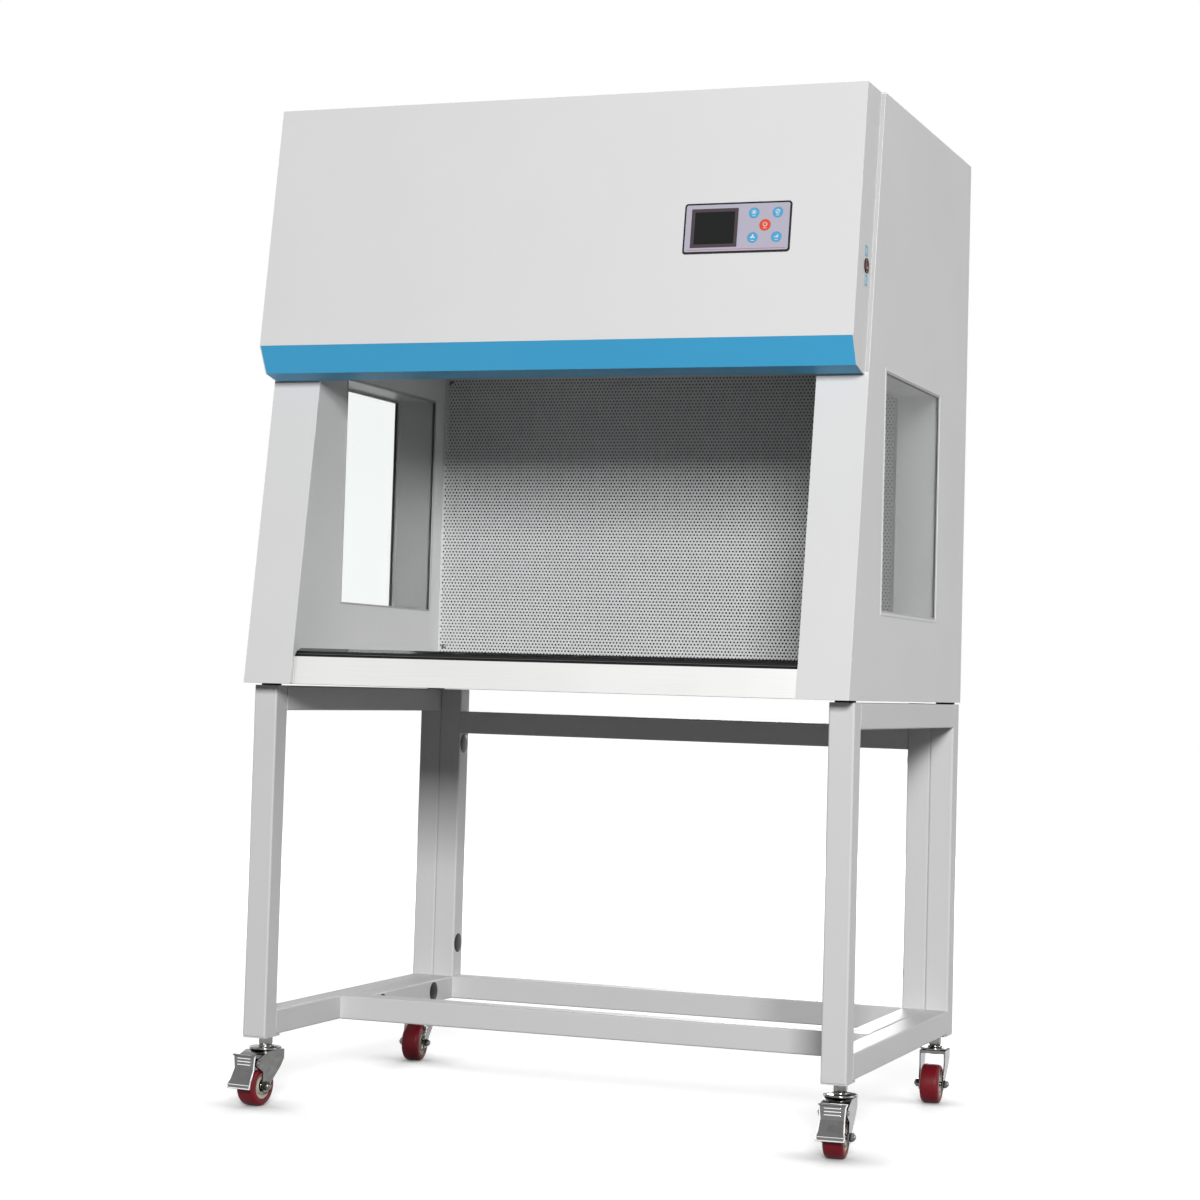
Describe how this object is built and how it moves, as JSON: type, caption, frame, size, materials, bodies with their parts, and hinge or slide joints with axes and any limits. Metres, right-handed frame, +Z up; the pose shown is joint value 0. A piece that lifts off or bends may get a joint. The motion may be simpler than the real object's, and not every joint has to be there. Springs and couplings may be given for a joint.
{
  "type": "horizontal laminar flow cabinet",
  "caption": "Horizontal laminar flow clean bench: open-front steel cabinet with side windows, hood with controls and a perforated rear wall, on a castored tube stand.",
  "frame": {"origin": "on the floor, under the middle of the cabinet body, with the wheels standing on z = 0", "axes": "+Z up; -Y out of the open front, where the operator sits; +X to the right seen from the front"},
  "size_m": [1.0232, 0.752, 1.615],
  "materials": {
    "cabinet_white": "white powder coat on folded steel sheet",
    "hood_blue": "satin sky blue powder coat",
    "work_steel": "brushed stainless steel sheet",
    "diffuser_white": "perforated sheet, light grey powder coat",
    "galvanised": "bare galvanised sheet",
    "trim_bright": "bright anodised trim",
    "window_glass": "clear toughened glass",
    "lamp_glass": "glass lamp tube",
    "black_rubber": "black rubber seal",
    "stand_grey": "light grey powder coat on steel tube",
    "black_plastic": "moulded black plastic",
    "zinc_steel": "bright zinc-plated steel",
    "pedal_chrome": "bright plated pressing",
    "wheel_red": "dark red polyurethane tread",
    "hub_cream": "cream moulded nylon",
    "filter_media": "pleated filter paper in a frame",
    "panel_grey": "satin membrane on a black plate",
    "screen_black": "glossy black screen",
    "key_blue": "gloss blue key",
    "key_red": "gloss orange-red key",
    "board_green": "circuit board",
    "rocker_red": "gloss red rocker",
    "motor_dark": "dark painted casing"
  },
  "bodies": {
    "cabinet": {"left_side_frame": "stand_grey", "right_side_frame": "stand_grey", "centre_frame": "stand_grey", "frame_bolts": "zinc_steel", "hole_plugs": "black_plastic", "cabinet_pads": "black_rubber", "caster_stems": "zinc_steel", "left_outer_panel": "cabinet_white", "right_outer_panel": "cabinet_white", "left_inner_liner": "cabinet_white", "right_inner_liner": "cabinet_white", "side_windows": "window_glass", "window_gaskets": "black_rubber", "window_trims": "cabinet_white", "base_tray": "cabinet_white", "worktop": "work_steel", "diffuser_panel": "diffuser_white", "hepa_filter": "filter_media", "rear_panel": "cabinet_white", "top_panel": "cabinet_white", "prefilter": "filter_media", "chamber_roof": "cabinet_white", "blower_housing": "galvanised", "blower_motor": "motor_dark", "lamp_holders": "black_plastic", "work_lamp": "lamp_glass", "uv_lamp": "lamp_glass", "hood_shell": "cabinet_white", "hood_fascia": "hood_blue", "control_panel": "panel_grey", "display": "screen_black", "control_board": "board_green", "switch_bezel": "black_plastic", "power_inlet": "black_plastic", "panel_screws": "zinc_steel"},
    "front_left_swivel": {"front_left_fork": "zinc_steel", "front_left_axle": "zinc_steel"},
    "front_left_wheel": {"front_left_hub": "hub_cream", "front_left_tyre": "wheel_red"},
    "front_left_pedal": {"front_left_brake_pedal": "pedal_chrome"},
    "front_right_swivel": {"front_right_fork": "zinc_steel", "front_right_axle": "zinc_steel"},
    "front_right_wheel": {"front_right_hub": "hub_cream", "front_right_tyre": "wheel_red"},
    "front_right_pedal": {"front_right_brake_pedal": "pedal_chrome"},
    "rear_left_swivel": {"rear_left_fork": "zinc_steel", "rear_left_axle": "zinc_steel"},
    "rear_left_wheel": {"rear_left_hub": "hub_cream", "rear_left_tyre": "wheel_red"},
    "rear_right_swivel": {"rear_right_fork": "zinc_steel", "rear_right_axle": "zinc_steel"},
    "rear_right_wheel": {"rear_right_hub": "hub_cream", "rear_right_tyre": "wheel_red"},
    "impeller": {"blower_impeller": "galvanised"},
    "rocker": {"switch_rocker": "rocker_red"},
    "light_key_cap": {"light_key": "key_blue"},
    "uv_key_cap": {"uv_key": "key_blue"},
    "power_key_cap": {"power_key": "key_red"},
    "fan_key_cap": {"fan_key": "key_blue"},
    "speed_key_cap": {"speed_key": "key_blue"}
  },
  "joints": [
    {"name": "front_left_swivel_turn", "type": "hinge", "parent": "cabinet", "child": "front_left_swivel", "pos_m": [-0.479, -0.2927, 0.0895], "axis": [0, 0, 1], "continuous": true},
    {"name": "front_left_wheel_roll", "type": "hinge", "parent": "front_left_swivel", "child": "front_left_wheel", "pos_m": [-0.48217, -0.31851, 0.0325], "axis": [0.9925, -0.1219, 0], "continuous": true},
    {"name": "front_left_pedal_lift", "type": "hinge", "parent": "front_left_swivel", "child": "front_left_pedal", "pos_m": [-0.48509, -0.34233, 0.071], "axis": [-0.9925, 0.1219, 0], "range_deg": [0, 28]},
    {"name": "front_right_swivel_turn", "type": "hinge", "parent": "cabinet", "child": "front_right_swivel", "pos_m": [0.479, -0.2927, 0.0895], "axis": [0, 0, 1], "continuous": true},
    {"name": "front_right_wheel_roll", "type": "hinge", "parent": "front_right_swivel", "child": "front_right_wheel", "pos_m": [0.48081, -0.31864, 0.0325], "axis": [0.9976, 0.0698, 0], "continuous": true},
    {"name": "front_right_pedal_lift", "type": "hinge", "parent": "front_right_swivel", "child": "front_right_pedal", "pos_m": [0.48249, -0.34258, 0.071], "axis": [-0.9976, -0.0698, 0], "range_deg": [0, 28]},
    {"name": "rear_left_swivel_turn", "type": "hinge", "parent": "cabinet", "child": "rear_left_swivel", "pos_m": [-0.479, 0.3267, 0.0895], "axis": [0, 0, 1], "continuous": true},
    {"name": "rear_left_wheel_roll", "type": "hinge", "parent": "rear_left_swivel", "child": "rear_left_wheel", "pos_m": [-0.47673, 0.3008, 0.0325], "axis": [0.9962, 0.0872, 0], "continuous": true},
    {"name": "rear_right_swivel_turn", "type": "hinge", "parent": "cabinet", "child": "rear_right_swivel", "pos_m": [0.479, 0.3267, 0.0895], "axis": [0, 0, 1], "continuous": true},
    {"name": "rear_right_wheel_roll", "type": "hinge", "parent": "rear_right_swivel", "child": "rear_right_wheel", "pos_m": [0.48036, 0.30074, 0.0325], "axis": [0.9986, 0.0523, 0], "continuous": true},
    {"name": "impeller_spin", "type": "hinge", "parent": "cabinet", "child": "impeller", "pos_m": [0, 0.2335, 1.3885], "axis": [1, 0, 0], "continuous": true},
    {"name": "rocker_tip", "type": "hinge", "parent": "cabinet", "child": "rocker", "pos_m": [0.493, -0.30834, 1.334], "axis": [0, 1, 0], "range_deg": [0, 20]},
    {"name": "light_key_press", "type": "slide", "parent": "cabinet", "child": "light_key_cap", "axis": [0, 0.9902, -0.1395], "range_m": [0, 0.0005], "stiffness_N_per_m": 2500, "springref_m": -0.0002},
    {"name": "uv_key_press", "type": "slide", "parent": "cabinet", "child": "uv_key_cap", "axis": [0, 0.9902, -0.1395], "range_m": [0, 0.0005], "stiffness_N_per_m": 2500, "springref_m": -0.0002},
    {"name": "power_key_press", "type": "slide", "parent": "cabinet", "child": "power_key_cap", "axis": [0, 0.9902, -0.1395], "range_m": [0, 0.0005], "stiffness_N_per_m": 2500, "springref_m": -0.0002},
    {"name": "fan_key_press", "type": "slide", "parent": "cabinet", "child": "fan_key_cap", "axis": [0, 0.9902, -0.1395], "range_m": [0, 0.0005], "stiffness_N_per_m": 2500, "springref_m": -0.0002},
    {"name": "speed_key_press", "type": "slide", "parent": "cabinet", "child": "speed_key_cap", "axis": [0, 0.9902, -0.1395], "range_m": [0, 0.0005], "stiffness_N_per_m": 2500, "springref_m": -0.0002}
  ]
}
